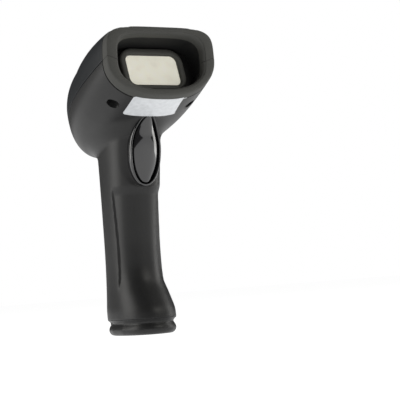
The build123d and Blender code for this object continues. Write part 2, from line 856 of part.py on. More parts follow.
with BuildPart() as window_gasket:
    add(rounded_prism(pane_width, pane_height, pane_corner, pane_back, pane_back + gasket_thick, window_rise))
    add(
        rounded_prism(
            window_width, window_height, window_corner, pane_back, pane_back + gasket_thick, window_rise
        ),
        mode=Mode.SUBTRACT,
    )
finish(window_gasket, "window_gasket")

# ---- trigger ------------------------------------------------------------------------------
with BuildPart() as trigger_bezel:
    add(trigger_blank(bezel_ring, bezel_proud, 0, bezel_back))
    add(trigger_hole(trigger_gap, trigger_foot_gap - trigger_gap), mode=Mode.SUBTRACT)
    # two arms reach back inside the handle, carry the pivot pin and hold the switch board
    arm_depth = switch_board_y - arm_front
    arm_places = [(side * (arm_inner + arm_outer) / 2, (arm_front + switch_board_y) / 2) for side in (1, -1)]
    add(block(Plane.XY.offset(arm_low), arm_outer - arm_inner, arm_depth, arm_high - arm_low, arm_places))
    pin_way = disc(Plane.YZ.offset(-arm_outer - 3), pivot_radius, 2 * arm_outer + 6, [(pivot_y, pivot_z)])
    add(pin_way, mode=Mode.SUBTRACT)
finish(trigger_bezel, "trigger_bezel")

with BuildPart() as trigger:
    add(trigger_blank(-trigger_gap * 0.5, bezel_proud + 0.3, trigger_proud - bezel_proud, trigger_back))
    # slots for the bezel's arms, leaving a boss for the pivot between them
    slot_width = arm_outer - trigger_boss + gap
    slot_places = [(side * (trigger_boss + slot_width / 2), 0) for side in (1, -1)]
    add(
        block(Plane.XY.offset(arm_low - 2.5), slot_width, 2 * slot_reach, 20, slot_places),
        mode=Mode.SUBTRACT,
    )
    # the tip's back corner would rise into the ring as the trigger turns, so it is cut away
    relief = block(Plane.XY.offset(pivot_z + tip_relief), 20, 10, 10, [(0, trigger_back + 5 - tip_relief)])
    add(relief, mode=Mode.SUBTRACT)
    add(disc(Plane.YZ.offset(-trigger_boss), pivot_radius + 1.6, 2 * trigger_boss, [(pivot_y, pivot_z)]))
    add(
        disc(Plane.YZ.offset(-10), pivot_radius + running, 20, [(pivot_y, pivot_z)]),
        mode=Mode.SUBTRACT,
    )
    # the nib that presses the switch
    nib_end = switch_y - plunger_out - gap
    nib_at = [(0, (nib_end + trigger_back - 1) / 2)]
    nib_low = Plane.XY.offset(switch_z - nib_side / 2)
    add(block(nib_low, nib_side, nib_end - trigger_back + 1, nib_side, nib_at))
finish(trigger, "trigger")

with BuildPart() as trigger_pivot_pin:
    add(disc(Plane.YZ.offset(-pin_half_length), pivot_radius, 2 * pin_half_length, [(pivot_y, pivot_z)]))
finish(trigger_pivot_pin, "trigger_pivot_pin")

with BuildPart() as switch_board:
    board_at = [(0, switch_board_y + switch_board_thick / 2)]
    add(
        block(
            Plane.XY.offset(switch_board_low), 2 * arm_outer + 4, switch_board_thick,
            switch_board_height, board_at,
        )
    )
finish(switch_board, "switch_board")

with BuildPart() as microswitch:
    switch_at = [(0, (switch_board_y + switch_y) / 2)]
    switch_floor = Plane.XY.offset(switch_z - switch_side / 2)
    add(block(switch_floor, switch_side, switch_board_y - switch_y, switch_side, switch_at))
    well = plunger_deep + plunger_stroke + gap
    well_floor = Plane.XY.offset(switch_z - plunger_height / 2 - fit)
    add(
        block(well_floor, plunger_width + 2 * fit, well, plunger_height + 2 * fit, [(0, switch_y + well / 2)]),
        mode=Mode.SUBTRACT,
    )
finish(microswitch, "microswitch")

with BuildPart() as switch_plunger:
    plunger_at = [(0, switch_y + (plunger_deep - plunger_out) / 2)]
    plunger_floor = Plane.XY.offset(switch_z - plunger_height / 2)
    add(block(plunger_floor, plunger_width, plunger_deep + plunger_out, plunger_height, plunger_at))
finish(switch_plunger, "switch_plunger")

# a bent leaf spring, riveted to the switch board, bears on the back of the trigger
with BuildPart() as trigger_return_spring:
    with BuildSketch(Plane.YZ.offset(-spring_width / 2)):
        with BuildLine() as spring_line:
            Polyline(
                (switch_board_y - spring_thick / 2, 104.5), (switch_board_y - spring_thick / 2, 99.5),
                (switch_board_y - 1.2, 97.5), (trigger_back + 0.2, 94.5), (trigger_back + 0.5, 93.0),
            )
        trace(line_width=spring_thick)
    extrude(amount=spring_width)
finish(trigger_return_spring, "trigger_return_spring")

# ---- scan engine --------------------------------------------------------------------------
engine_middle = engine_front + engine_length / 2
engine_seat = engine_floor + engine_wall
with BuildPart() as engine_chassis:
    chassis_height = engine_rim - engine_floor
    chassis_width = 2 * engine_half_width
    add(block(level(engine_floor), chassis_width, engine_length, chassis_height, [(0, engine_middle)]))
    inner_width = 2 * (engine_half_width - engine_wall)
    inner_length = engine_length - 2 * engine_wall
    add(block(level(engine_seat), inner_width, inner_length, 40, [(0, engine_middle)]), mode=Mode.SUBTRACT)
    scan_slot = block(level(engine_seat + 1.5), scan_slot_width, 3 * engine_wall, 40, [(0, engine_front)])
    add(scan_slot, mode=Mode.SUBTRACT)
    add(disc(level(engine_floor), lug_radius, engine_wall, lugs_at))
    necks_at = [(copysign(engine_half_width + 0.8, x), y) for x, y in lugs_at]
    add(block(level(engine_floor), 4, 4, engine_wall, necks_at))
    add(disc(level(engine_floor - 1), screw_shank + fit, 5, lugs_at), mode=Mode.SUBTRACT)
    pin_at = [(0, mirror_axis)]
    add(disc(level(engine_floor), mirror_pin_radius + 1.2, engine_wall + 1, pin_at))
    add(disc(level(engine_floor - 1), mirror_pin_radius, engine_wall + 3, pin_at), mode=Mode.SUBTRACT)
    seat_height = beam_rise - laser_radius - engine_seat
    add(block(level(engine_seat), laser_seat_side, laser_seat_side, seat_height, [laser_seat]))
finish(engine_chassis, "engine_chassis")

with BuildPart() as engine_board:
    with BuildSketch(level(engine_floor - engine_board_thick)):
        with Locations((0, engine_middle)):
            RectangleRounded(2 * engine_half_width - 4, engine_length, 1.5)
    extrude(amount=engine_board_thick)
finish(engine_board, "engine_board")

with BuildPart() as shock_mounts:
    add(disc(level(engine_floor - mount_height), lug_radius, mount_height, lugs_at))
    mount_hole = disc(level(engine_floor - mount_height), screw_shank + fit, mount_height, lugs_at)
    add(mount_hole, mode=Mode.SUBTRACT)
finish(shock_mounts, "shock_mounts")

with BuildPart() as engine_screws:
    add(disc(level(engine_floor + engine_wall), screw_head, screw_head_depth, lugs_at))
    add(disc(level(engine_floor - mount_height - 4), screw_shank, mount_height + 4 + engine_wall, lugs_at))
finish(engine_screws, "engine_screws")

beam_start = head_point(laser_at[0], laser_at[1], beam_rise)
beam_way = (head_point(0, mirror_along, beam_rise) - beam_start).normalized()
laser_plane = Plane(origin=beam_start, x_dir=up_way, z_dir=beam_way)
lens_seat = laser_plane.offset(laser_length - lens_recess)
with BuildPart() as laser_module:
    add(disc(laser_plane, laser_radius, laser_length))
    add(disc(lens_seat, laser_radius - lens_inset, lens_recess), mode=Mode.SUBTRACT)
finish(laser_module, "laser_module")

with BuildPart() as laser_lens:
    add(disc(lens_seat, laser_radius - lens_inset, lens_thick))
finish(laser_lens, "laser_lens")

mirror_low = beam_rise - mirror_drop
mirror_high = beam_rise + mirror_reach
with BuildPart() as mirror_pin:
    add(disc(level(engine_floor), mirror_pin_radius, mirror_high + 0.8 - engine_floor, pin_at))
finish(mirror_pin, "mirror_pin")

with BuildPart() as mirror_carrier:
    carrier_depth = 2 * (mirror_axis - mirror_back)
    add(block(level(mirror_low), carrier_width, carrier_depth, mirror_high - mirror_low, pin_at))
    add(disc(level(mirror_low - 1), mirror_pin_radius + running, 20, pin_at), mode=Mode.SUBTRACT)
finish(mirror_carrier, "mirror_carrier")

collector_face = mirror_back - mirror_thick
facet_floor = level(beam_rise - facet_height / 2)
with BuildPart() as collecting_mirror:
    collector_at = [(0, mirror_back - mirror_thick / 2)]
    add(block(level(mirror_low + 0.5), collector_width, mirror_thick, collector_height, collector_at))
    pocket_at = [(0, collector_face + facet_recess / 2)]
    add(block(facet_floor, facet_width, facet_recess, facet_height, pocket_at), mode=Mode.SUBTRACT)
finish(collecting_mirror, "collecting_mirror")

with BuildPart() as scan_mirror:
    facet_at = [(0, collector_face + facet_recess - facet_thick / 2)]
    add(block(facet_floor, facet_width, facet_thick, facet_height, facet_at))
finish(scan_mirror, "scan_mirror")

magnet_front = 2 * mirror_axis - mirror_back
with BuildPart() as mirror_magnet:
    magnet_at = [(0, magnet_front + magnet_thick / 2)]
    add(block(level(beam_rise - magnet_side / 2), magnet_side, magnet_thick, magnet_side, magnet_at))
finish(mirror_magnet, "mirror_magnet")

coil_back = engine_front + engine_length - engine_wall
coil_front = magnet_front + magnet_thick + coil_gap
with BuildPart() as drive_coil:
    coil_plane = across(coil_front, beam_rise)
    add(disc(coil_plane, coil_radius, coil_back - coil_front))
    add(disc(coil_plane, coil_bore, coil_back - coil_front), mode=Mode.SUBTRACT)
finish(drive_coil, "drive_coil")

with BuildPart() as photodiode:
    photodiode_at = [(photodiode_x, engine_front + engine_wall + photodiode_thick / 2)]
    photodiode_floor = level(beam_rise - photodiode_height / 2)
    add(block(photodiode_floor, photodiode_width, photodiode_thick, photodiode_height, photodiode_at))
finish(photodiode, "photodiode")

# ---- boards and inlet in the handle -------------------------------------------------------
board_middle = (board_low + board_high) / 2
board_back = board_y + board_thick
with BuildPart() as main_board:
    with BuildSketch(Plane.XZ.offset(-board_back)):
        with Locations((0, board_middle)):
            RectangleRounded(2 * board_half_width, board_high - board_low, 1.5)
        with Locations(*standoffs_at):
            Circle(screw_shank + fit, mode=Mode.SUBTRACT)
    extrude(amount=board_thick)
finish(main_board, "main_board")

with BuildPart() as main_board_screws:
    add(disc(Plane.XZ.offset(-board_y), screw_head, screw_head_depth, standoffs_at))
    add(disc(Plane.XZ.offset(-board_y - board_screw_length), screw_shank, board_screw_length, standoffs_at))
finish(main_board_screws, "main_board_screws")

with BuildPart() as decoder_chips:
    for width, tall, thick, x, height in chips:
        add(block(Plane.XZ.offset(-board_y), width, tall, thick, [(x, height)]))
finish(decoder_chips, "decoder_chips")

with BuildPart() as flex_connectors:
    board_face = Plane.XZ.offset(-board_y)
    add(block(board_face, connector_width, connector_length, connector_height, [(0, flex_low)]))
    upper_floor = level(engine_floor - engine_board_thick - connector_height)
    add(block(upper_floor, connector_width, connector_length, connector_height, [(0, flex_along)]))
finish(flex_connectors, "flex_connectors")

flex_top = head_point(0, flex_along, engine_floor - engine_board_thick - connector_height - flex_thick / 2)
with BuildPart() as flex_cable:
    with BuildSketch(Plane.YZ.offset(-flex_width / 2)):
        with BuildLine():
            Spline(
                (flex_top.Y, flex_top.Z), (0.5, 108), (board_y - connector_height - 0.2, flex_low),
                tangents=[(0.2, -1), (0.15, -1)],
            )
        trace(line_width=flex_thick)
    extrude(amount=flex_width)
finish(flex_cable, "flex_cable")

with BuildPart() as interface_jack:
    add(block(Plane.XY.offset(jack_low), jack_width, jack_depth, jack_height, [(0, jack_y)]))
    socket_low = Plane.XY.offset(jack_low - 1)
    socket = block(socket_low, socket_width, socket_depth, socket_height + 1, [(0, jack_y)])
    add(socket, mode=Mode.SUBTRACT)
finish(interface_jack, "interface_jack")

with BuildPart() as jack_contacts:
    row_y = jack_y - socket_depth / 2 + contact_side / 2
    contact_places = [(contact_pitch * (step - (contacts - 1) / 2), row_y) for step in range(contacts)]
    contact_length = socket_height - contact_setback
    contact_low = Plane.XY.offset(jack_low + contact_setback)
    add(block(contact_low, contact_side, contact_side, contact_length, contact_places))
finish(jack_contacts, "jack_contacts")
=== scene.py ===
import json

import bmesh
import bpy
import numpy as np
from mathutils import Matrix, Vector


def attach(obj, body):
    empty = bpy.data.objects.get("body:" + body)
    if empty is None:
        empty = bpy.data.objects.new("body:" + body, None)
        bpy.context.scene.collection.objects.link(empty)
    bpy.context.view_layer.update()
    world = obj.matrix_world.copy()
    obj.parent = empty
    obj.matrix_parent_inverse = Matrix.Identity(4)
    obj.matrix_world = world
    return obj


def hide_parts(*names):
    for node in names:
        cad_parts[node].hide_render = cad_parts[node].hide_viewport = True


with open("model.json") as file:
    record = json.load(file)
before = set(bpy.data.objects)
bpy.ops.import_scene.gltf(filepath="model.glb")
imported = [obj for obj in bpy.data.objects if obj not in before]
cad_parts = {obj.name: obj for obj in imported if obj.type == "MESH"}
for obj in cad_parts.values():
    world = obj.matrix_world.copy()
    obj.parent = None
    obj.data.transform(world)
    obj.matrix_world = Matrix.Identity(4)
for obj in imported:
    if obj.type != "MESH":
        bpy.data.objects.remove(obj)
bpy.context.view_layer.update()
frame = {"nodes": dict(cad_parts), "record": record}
print("frame loaded:", len(frame["nodes"]), "nodes")

mm = 0.001

# the head's form in millimetres: (at the nose, at the crest, where the crest is, how late it falls away)
head = {
    "tilt": np.radians(18.8),
    "noseY": -53.0,
    "noseZ": 153.8,
    "length": 99.5,
    "side": (34.0, 35.3, 28.0, 2.1),
    "crown": (18.0, 24.6, 54.0, 1.9),
    "belly": (19.4, 23.0, 52.0, 3.6),
    "crownPower": (4.4, 2.6),
    "bellyPower": (2.25, 2.6),
    "powerBlend": 45.0,
    "shellFront": 5.6,
}


# along and rise are measured on the head's tilted axis: y = noseY + along cos + rise sin, z = noseZ - along sin + rise cos
def headPoint(x, along, rise):
    x, along, rise = np.broadcast_arrays(x, along, rise)
    y = head["noseY"] + along * np.cos(head["tilt"]) + rise * np.sin(head["tilt"])
    z = head["noseZ"] - along * np.sin(head["tilt"]) + rise * np.cos(head["tilt"])
    return np.stack([x, y, z], axis=-1)


# a parabola up to the crest, then a superellipse quarter down to the tail
def swell(along, key, inset=0.0):
    nose, crest, crestAt, power = head[key]
    rising = crest - (crest - nose) * ((crestAt - along) / crestAt) ** 2
    fall = np.clip((along - crestAt) / (head["length"] - inset - crestAt), 0, 1)
    return np.where(along < crestAt, rising - inset, (crest - inset) * (1 - fall ** power) ** (1 / power))


def sectionPower(along, key):
    blend = np.clip(along / head["powerBlend"], 0, 1)
    nose, rear = head[key]
    return nose + (rear - nose) * blend


def smooth(value):
    value = np.clip(value, 0, 1)
    return value * value * (3 - 2 * value)


# the along of a point that lies in the vertical plane this deep behind the nose
def alongAtDepth(depth, rise):
    return (depth - rise * np.sin(head["tilt"])) / np.cos(head["tilt"])


# flutes either side of the spine: inner line, outer line and floor height at stations along the head
flute = {
    "stations": [0, 12, 20, 33, 46, 60, 72, 100],
    "inner": [18.0, 18.0, 18.4, 19.2, 20.2, 22.4, 24.6, 26.0],
    "outer": [27.6, 26.6, 26.8, 27.6, 29.4, 30.6, 30.6, 30.6],
    "floor": [15.7, 16.0, 16.3, 16.8, 17.2, 18.0, 19.0, 19.0],
    "wall": 3.4,
    "lip": 1.3,
    "rampFrom": 46.0,
    "rampTo": 72.0,
}


# the flute sinks the surface to its floor, times a smooth step at each line and a ramp at the rear
def fluteDepth(x, along, rise):
    inner = np.interp(along, flute["stations"], flute["inner"])
    outer = np.interp(along, flute["stations"], flute["outer"])
    floor = np.interp(along, flute["stations"], flute["floor"])
    shape = smooth((np.abs(x) - inner) / flute["wall"]) * smooth((outer - np.abs(x)) / flute["lip"])
    ramp = 1 - smooth((along - flute["rampFrom"]) / (flute["rampTo"] - flute["rampFrom"]))
    return np.maximum(rise - floor, 0) * shape * ramp


# draws a form in to stay inside the CAD box: the sides by a fixed share, and heights above 160 by another
def drawIn(points, share):
    x, y, z = points[..., 0], points[..., 1], points[..., 2]
    return np.stack([x * 0.9990, y, np.where(z > 160, 160 + (z - 160) * share, z)], axis=-1)


# superellipse section: turn 0 is the right side, a quarter turn the crown, three quarters the belly
def headSection(turn, along, inset=0.0):
    c, s = np.cos(turn), np.sin(turn)
    above = s >= 0
    power = np.where(above, sectionPower(along, "crownPower"), sectionPower(along, "bellyPower"))
    height = np.where(above, swell(along, "crown", inset), swell(along, "belly", inset))
    size = (np.abs(c) ** power + np.abs(s) ** power) ** (-1 / power)
    x = swell(along, "side", inset) * size * c
    rise = height * size * s
    return x, rise - np.where(above, fluteDepth(x, along, rise), 0)


# grids of points become quads; a wrapped grid closes its last column onto its first, a cap is a fan over an end row
def buildMesh(name, grids):
    points, quads, fans, start = [], [], [], 0
    for grid in grids:
        rows, columns = grid["points"].shape[:2]
        index = start + np.arange(rows * columns).reshape(rows, columns)
        points.append(grid["points"].reshape(-1, 3))
        start += rows * columns
        if grid.get("wrap"):
            index = np.concatenate([index, index[:, :1]], axis=1)
        cells = np.stack([index[:-1, :-1], index[:-1, 1:], index[1:, 1:], index[1:, :-1]], axis=-1)
        keep = grid.get("keep")
        quads.append(cells.reshape(-1, 4) if keep is None else cells[keep])
        for row in grid.get("caps", ()):
            points.append(grid["points"][row].mean(axis=0)[None])
            rim = index[row]
            fans.append(np.stack([rim[:-1], rim[1:], np.full(len(rim) - 1, start)], axis=-1))
            start += 1
    vertices = np.concatenate(points) * mm
    faces = np.concatenate(quads).tolist()
    for fan in fans:
        faces += fan.tolist()
    mesh = bpy.data.meshes.new(name)
    mesh.from_pydata(vertices.tolist(), [], faces)
    tidy = bmesh.new()
    tidy.from_mesh(mesh)
    bmesh.ops.remove_doubles(tidy, verts=tidy.verts, dist=2e-6)
    bmesh.ops.dissolve_degenerate(tidy, edges=tidy.edges, dist=1e-7)
    loose = [vertex for vertex in tidy.verts if not vertex.link_faces]
    bmesh.ops.delete(tidy, geom=loose, context="VERTS")
    bmesh.ops.recalc_face_normals(tidy, faces=tidy.faces)
    tidy.to_mesh(mesh)
    tidy.free()
    return mesh


def addPiece(name, grids, material, body, nodes, sharp=40.0, wall=0.0):
    mesh = buildMesh(name, grids)
    piece = bpy.data.objects.new(name, mesh)
    bpy.context.scene.collection.objects.link(piece)
    mesh.polygons.foreach_set("use_smooth", np.ones(len(mesh.polygons), dtype=bool))
    mesh.set_sharp_from_angle(angle=np.radians(sharp))
    mesh.materials.append(material)
    if wall:
        solid = piece.modifiers.new("wall", "SOLIDIFY")
        solid.thickness = wall * mm
        solid.offset = -1
    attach(piece, body)
    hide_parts(*nodes)
    print("piece", name, len(mesh.polygons), "faces")
    return piece


# every finish: colour, metallic, roughness, grain size in millimetres, grain depth in millimetres, clear coat
finishes = {
    "dark_cover": ((0.012, 0.014, 0.016), 0.0, 0.40, 0.55, 0.030, 0.0),
    "grey_shell": ((0.016, 0.016, 0.016), 0.0, 0.42, 0.55, 0.030, 0.0),
    "bumper_grey": ((0.055, 0.055, 0.050), 0.0, 0.62, 0.60, 0.060, 0.0),
    "tunnel_black": ((0.006, 0.006, 0.006), 0.0, 0.70, 0.50, 0.020, 0.0),
    "bezel_grey": ((0.060, 0.060, 0.054), 0.0, 0.55, 0.60, 0.050, 0.0),
    # window_clear: the pane's own cream tint, raised to a pale tone as a painted reflection of the softbox
    "window_clear": ((0.830, 0.810, 0.700), 0.0, 0.06, 6.00, 0.000, 1.0),
    "gasket_rubber": ((0.010, 0.010, 0.010), 0.0, 0.80, 0.80, 0.050, 0.0),
    "gloss_black": ((0.006, 0.006, 0.007), 0.0, 0.09, 9.00, 0.004, 1.0),
    "panel_dark": ((0.035, 0.037, 0.038), 0.0, 0.48, 0.50, 0.030, 0.0),
    "lamp_smoke": ((0.004, 0.004, 0.005), 0.0, 0.12, 4.00, 0.000, 1.0),
    "silver_grille": ((0.560, 0.560, 0.550), 0.9, 0.30, 0.50, 0.010, 0.0),
    "badge_silver": ((0.660, 0.650, 0.660), 0.7, 0.26, 0.40, 0.006, 0.6),
    "badge_red": ((0.480, 0.010, 0.010), 0.0, 0.22, 1.50, 0.004, 1.0),
    "label_white": ((0.640, 0.660, 0.680), 0.0, 0.34, 2.50, 0.006, 0.3),
    "screw_steel": ((0.330, 0.330, 0.340), 1.0, 0.36, 0.40, 0.010, 0.0),
    "pin_steel": ((0.520, 0.520, 0.520), 1.0, 0.25, 0.30, 0.004, 0.0),
    "spring_steel": ((0.480, 0.480, 0.460), 1.0, 0.30, 0.30, 0.004, 0.0),
    "board_green": ((0.012, 0.100, 0.040), 0.0, 0.40, 1.20, 0.010, 0.4),
    "chip_black": ((0.012, 0.012, 0.013), 0.0, 0.55, 0.40, 0.012, 0.0),
    "connector_ivory": ((0.580, 0.560, 0.480), 0.0, 0.50, 0.80, 0.010, 0.0),
    "engine_grey": ((0.380, 0.390, 0.400), 0.9, 0.45, 0.50, 0.020, 0.0),
    "laser_brass": ((0.620, 0.460, 0.180), 1.0, 0.28, 0.40, 0.006, 0.0),
    "lens_glass": ((0.700, 0.700, 0.760), 0.0, 0.04, 5.00, 0.000, 1.0),
    "mirror_silver": ((0.850, 0.850, 0.870), 1.0, 0.04, 5.00, 0.000, 0.0),
    "magnet_nickel": ((0.600, 0.600, 0.600), 1.0, 0.20, 0.50, 0.004, 0.0),
    "coil_copper": ((0.560, 0.220, 0.080), 1.0, 0.35, 0.30, 0.030, 0.0),
    "flex_amber": ((0.480, 0.220, 0.030), 0.0, 0.30, 1.00, 0.004, 0.5),
    "contact_gold": ((0.720, 0.520, 0.180), 1.0, 0.25, 0.40, 0.004, 0.0),
    "nylon_white": ((0.620, 0.620, 0.590), 0.0, 0.50, 0.80, 0.010, 0.0),
}


# moulded finish: fine grain in bump, its hollows a little darker, and slow variation in roughness
def makeFinish(slotName):
    colour, metallic, roughness, grain, depth, coat = finishes[slotName]
    material = bpy.data.materials.new(slotName)
    material.use_nodes = True
    nodes, links = material.node_tree.nodes, material.node_tree.links
    shader = nodes["Principled BSDF"]
    shader.inputs["Metallic"].default_value = metallic
    shader.inputs["Specular IOR Level"].default_value = 0.5 if metallic or coat else 0.36
    shader.inputs["Coat Weight"].default_value = coat
    shader.inputs["Coat Roughness"].default_value = 0.04
    place = nodes.new("ShaderNodeTexCoord")
    grains = nodes.new("ShaderNodeTexNoise")
    grains.inputs["Scale"].default_value = 1 / (grain * mm)
    grains.inputs["Detail"].default_value = 3.0
    clouds = nodes.new("ShaderNodeTexNoise")
    clouds.inputs["Scale"].default_value = 45.0
    clouds.inputs["Detail"].default_value = 4.0
    links.new(place.outputs["Object"], grains.inputs["Vector"])
    links.new(place.outputs["Object"], clouds.inputs["Vector"])
    tone = nodes.new("ShaderNodeMix")
    tone.data_type = "RGBA"
    tone.inputs["A"].default_value = (*[0.80 * part for part in colour], 1)
    tone.inputs["B"].default_value = (*[min(1.0, 1.20 * part) for part in colour], 1)
    links.new(grains.outputs["Fac"], tone.inputs["Factor"])
    links.new(tone.outputs["Result"], shader.inputs["Base Color"])
    polish = nodes.new("ShaderNodeMapRange")
    polish.inputs["To Min"].default_value = max(0.02, roughness * 0.86)
    polish.inputs["To Max"].default_value = min(1.0, roughness * 1.14)
    links.new(clouds.outputs["Fac"], polish.inputs["Value"])
    links.new(polish.outputs["Result"], shader.inputs["Roughness"])
    if depth:
        bump = nodes.new("ShaderNodeBump")
        bump.inputs["Strength"].default_value = 0.6
        bump.inputs["Distance"].default_value = depth * mm
        links.new(grains.outputs["Fac"], bump.inputs["Height"])
        links.new(bump.outputs["Normal"], shader.inputs["Normal"])
    return material


materials = {slotName: makeFinish(slotName) for slotName in finishes}
# the window pane is given an emission glow though it is no lamp: a painted reflection of the softbox
paintedReflectionPane = materials["window_clear"].node_tree.nodes["Principled BSDF"]
paintedReflectionPane.inputs["Emission Color"].default_value = (0.83, 0.81, 0.70, 1)
paintedReflectionPane.inputs["Emission Strength"].default_value = 0.35
print("finishes made:", len(materials))

# teardrop pocket of the indicator panel: two rounds and the hull between them
pocket = {"front": 28.0, "frontRadius": 6.8, "rear": 72.0, "rearRadius": 4.2, "depth": 1.3, "bevel": 0.9}
badge = {"along": 13.3, "halfWidth": 10.25, "halfLength": 6.0, "moat": 1.5}


# signed distance to the hull of two circles of different size, negative inside
def teardropDistance(x, along, front, frontRadius, rear, rearRadius):
    start = front + frontRadius
    reach = rear - rearRadius - start
    lean = (frontRadius - rearRadius) / reach
    side = np.sqrt(1 - lean ** 2)
    across, up = np.abs(x), along - start
    turn = -lean * across + side * up
    nearFront = np.hypot(across, up) - frontRadius
    nearRear = np.hypot(across, up - reach) - rearRadius
    between = side * across + lean * up - frontRadius
    return np.where(turn < 0, nearFront, np.where(turn > side * reach, nearRear, between))


cover = {"inside": 9, "bevel": 5, "plain": 16, "wall": 8, "floor": 12, "lip": 5, "shoulder": 8, "side": 26}


# the top cover: columns follow the pocket's edge and both lines of the flute, rows run back to the tail,
# and the front row is pulled into the vertical plane behind the bumper
def coverGrid():
    rear = head["length"] - 74.0
    rows = np.concatenate([
        np.linspace(head["shellFront"] + 0.3, 26, 46)[:-1],
        np.linspace(26, 74, 112)[:-1],
        74 + rear * (1 - (1 - np.linspace(0, 1, 40)) ** 2),
    ])
    along = rows[:, None]
    front = rows[0]

    def columnsAt(along):
        half = np.maximum(swell(along, "side"), 1e-6)
        rim = np.interp(along, [pocket["front"] + 6.8, pocket["rear"] - 4.2], [6.87, 4.25])
        inner = np.interp(along, flute["stations"], flute["inner"])
        outer = np.interp(along, flute["stations"], flute["outer"])
        lines = [0 * rim, rim - pocket["bevel"], rim, inner, inner + flute["wall"], outer - flute["lip"], outer]
        caps = [0, 0.30, 0.34, 0.72, 0.80, 0.86, 0.90]
        knots = [np.minimum(line / half, cap) for line, cap in zip(lines, caps)] + [0 * rim + 0.945]
        counts = [cover[key] for key in ("inside", "bevel", "plain", "wall", "floor", "lip", "shoulder")]
        spans = []
        for begin, end, count in zip(knots[:-1], knots[1:], counts):
            spans.append(begin + (end - begin) * np.arange(count) / count)
        xn = np.concatenate(spans, axis=-1)
        power = sectionPower(along, "crownPower")
        flat = np.arctan2((1 - xn ** power) ** (1 / power), xn)
        last = np.arctan2((1 - 0.945 ** power) ** (1 / power), 0.945)
        steps = 1 - np.linspace(0, 1, cover["side"])
        low = 0.010
        side = low + (last - low) * steps ** 1.6
        right = np.concatenate([flat, side], axis=-1)
        return np.concatenate([right[:, ::-1], np.pi - right[:, 1:]], axis=-1)

    turn = columnsAt(along)
    for _ in range(3):
        x, rise = headSection(turn, along + 0 * turn)
        pull = alongAtDepth(head["shellFront"], rise[:1]) - front
        along = rows[:, None] + pull * (1 - np.clip((rows[:, None] - front) / 18.0, 0, 1)) ** 2
    x, rise = headSection(turn, along)
    gap = teardropDistance(x, along, pocket["front"], pocket["frontRadius"], pocket["rear"], pocket["rearRadius"])
    rise = rise - pocket["depth"] * smooth(-gap / pocket["bevel"])
    ring = np.hypot(x / badge["halfWidth"], (along - badge["along"]) / badge["halfLength"])
    rise = rise - badge["moat"] * (1 - smooth((ring - 1.0) / 0.16))
    edge = np.clip(1 - rise / 0.45, 0, 1)
    x = x - np.sign(x) * 0.28 * edge ** 2
    return drawIn(headPoint(x, along, rise), 0.9920)


addPiece("topCover", [{"points": coverGrid()}], materials["dark_cover"], "housing", ["upper_shell"],
         32, 2.0)

handle = {
    "heights": [9, 14, 20, 26, 35, 48, 64, 84, 100, 114, 128],
    "half": [17, 17, 16.4, 15.8, 15.3, 15.1, 15.3, 15.8, 16.3, 17, 17.6],
    "back": [20.3, 20.4, 20, 19.5, 18.9, 18.4, 18.2, 18, 18, 18.2, 18.6],
    "front": [-31, -30, -26.5, -22.6, -19.5, -18.6, -19.6, -22, -24.5, -26.6, -28.4],
    "power": 2.3,
    "recess": 1.0,
    "recessEdge": -8.0,
    "fillet": 7.5,
    "seam": 9.0,
}
well = {"x": 24.5, "along": 23.0, "radius": 3.2, "depth": 11.0}
trigger = {
    "low": 86.5, "high": 124.0, "half": 8.2, "footY": -22.2, "lean": 0.155, "curl": 4.0, "curlFrom": 112.0,
    "back": -19.0, "proud": 1.2, "dome": 1.7, "bulge": 3.8, "ringOut": 1.9,
}


# a smooth curve through the stations, with each slope the mean of the two beside it
def track(height, key):
    stations, values = np.array(handle["heights"], float), np.array(handle[key], float)
    slopes = np.gradient(values, stations)
    at = np.clip(np.searchsorted(stations, height, side="right") - 1, 0, len(stations) - 2)
    span = stations[at + 1] - stations[at]
    share = np.clip((height - stations[at]) / span, 0, 1)
    cubed, squared = share ** 3, share ** 2
    lower = (2 * cubed - 3 * squared + 1) * values[at] + (cubed - 2 * squared + share) * span * slopes[at]
    upper = (3 * squared - 2 * cubed) * values[at + 1] + (cubed - squared) * span * slopes[at + 1]
    return lower + upper


# superellipse oval; turn 0 is the right side, three quarters of a turn the front
def handleOval(turn, height, inset=0.0):
    c, s = np.cos(turn), np.sin(turn)
    size = (np.abs(c) ** handle["power"] + np.abs(s) ** handle["power"]) ** (-1 / handle["power"])
    back, front = track(height, "back") - inset, track(height, "front") + inset
    return (track(height, "half") - inset) * size * c, (back + front) / 2 + (back - front) / 2 * size * s


# half-width of the trigger's pointed oval, grown all round
def triggerSide(height, grow):
    middle, reach = (trigger["low"] + trigger["high"]) / 2, (trigger["high"] - trigger["low"]) / 2 + grow
    share = np.clip((height - middle) / reach, -1, 1)
    power = np.where(share > 0, 1.75, 2.2)
    return (trigger["half"] + grow) * (1 - np.abs(share) ** power) ** (1 / power)


def triggerFront(height):
    curl = np.maximum(0, (height - trigger["curlFrom"]) / (trigger["high"] - trigger["curlFrom"]))
    return trigger["footY"] - trigger["lean"] * (height - trigger["low"]) - trigger["curl"] * curl ** 2


# height of the head's underside over a point of the plan, by repeated correction of its rise
def bellyHeight(x, y):
    rise = np.full(np.broadcast(x, y).shape, -20.0)
    for _ in range(12):
        along = (y - head["noseY"] - rise * np.sin(head["tilt"])) / np.cos(head["tilt"])
        power = sectionPower(along, "bellyPower")
        share = np.clip(np.abs(x) / np.maximum(swell(along, "side"), 1e-3), 0, 0.995)
        rise = 0.5 * rise - 0.5 * swell(along, "belly") * (1 - share ** power) ** (1 / power)
    along = (y - head["noseY"] - rise * np.sin(head["tilt"])) / np.cos(head["tilt"])
    return head["noseZ"] - along * np.sin(head["tilt"]) + rise * np.cos(head["tilt"])


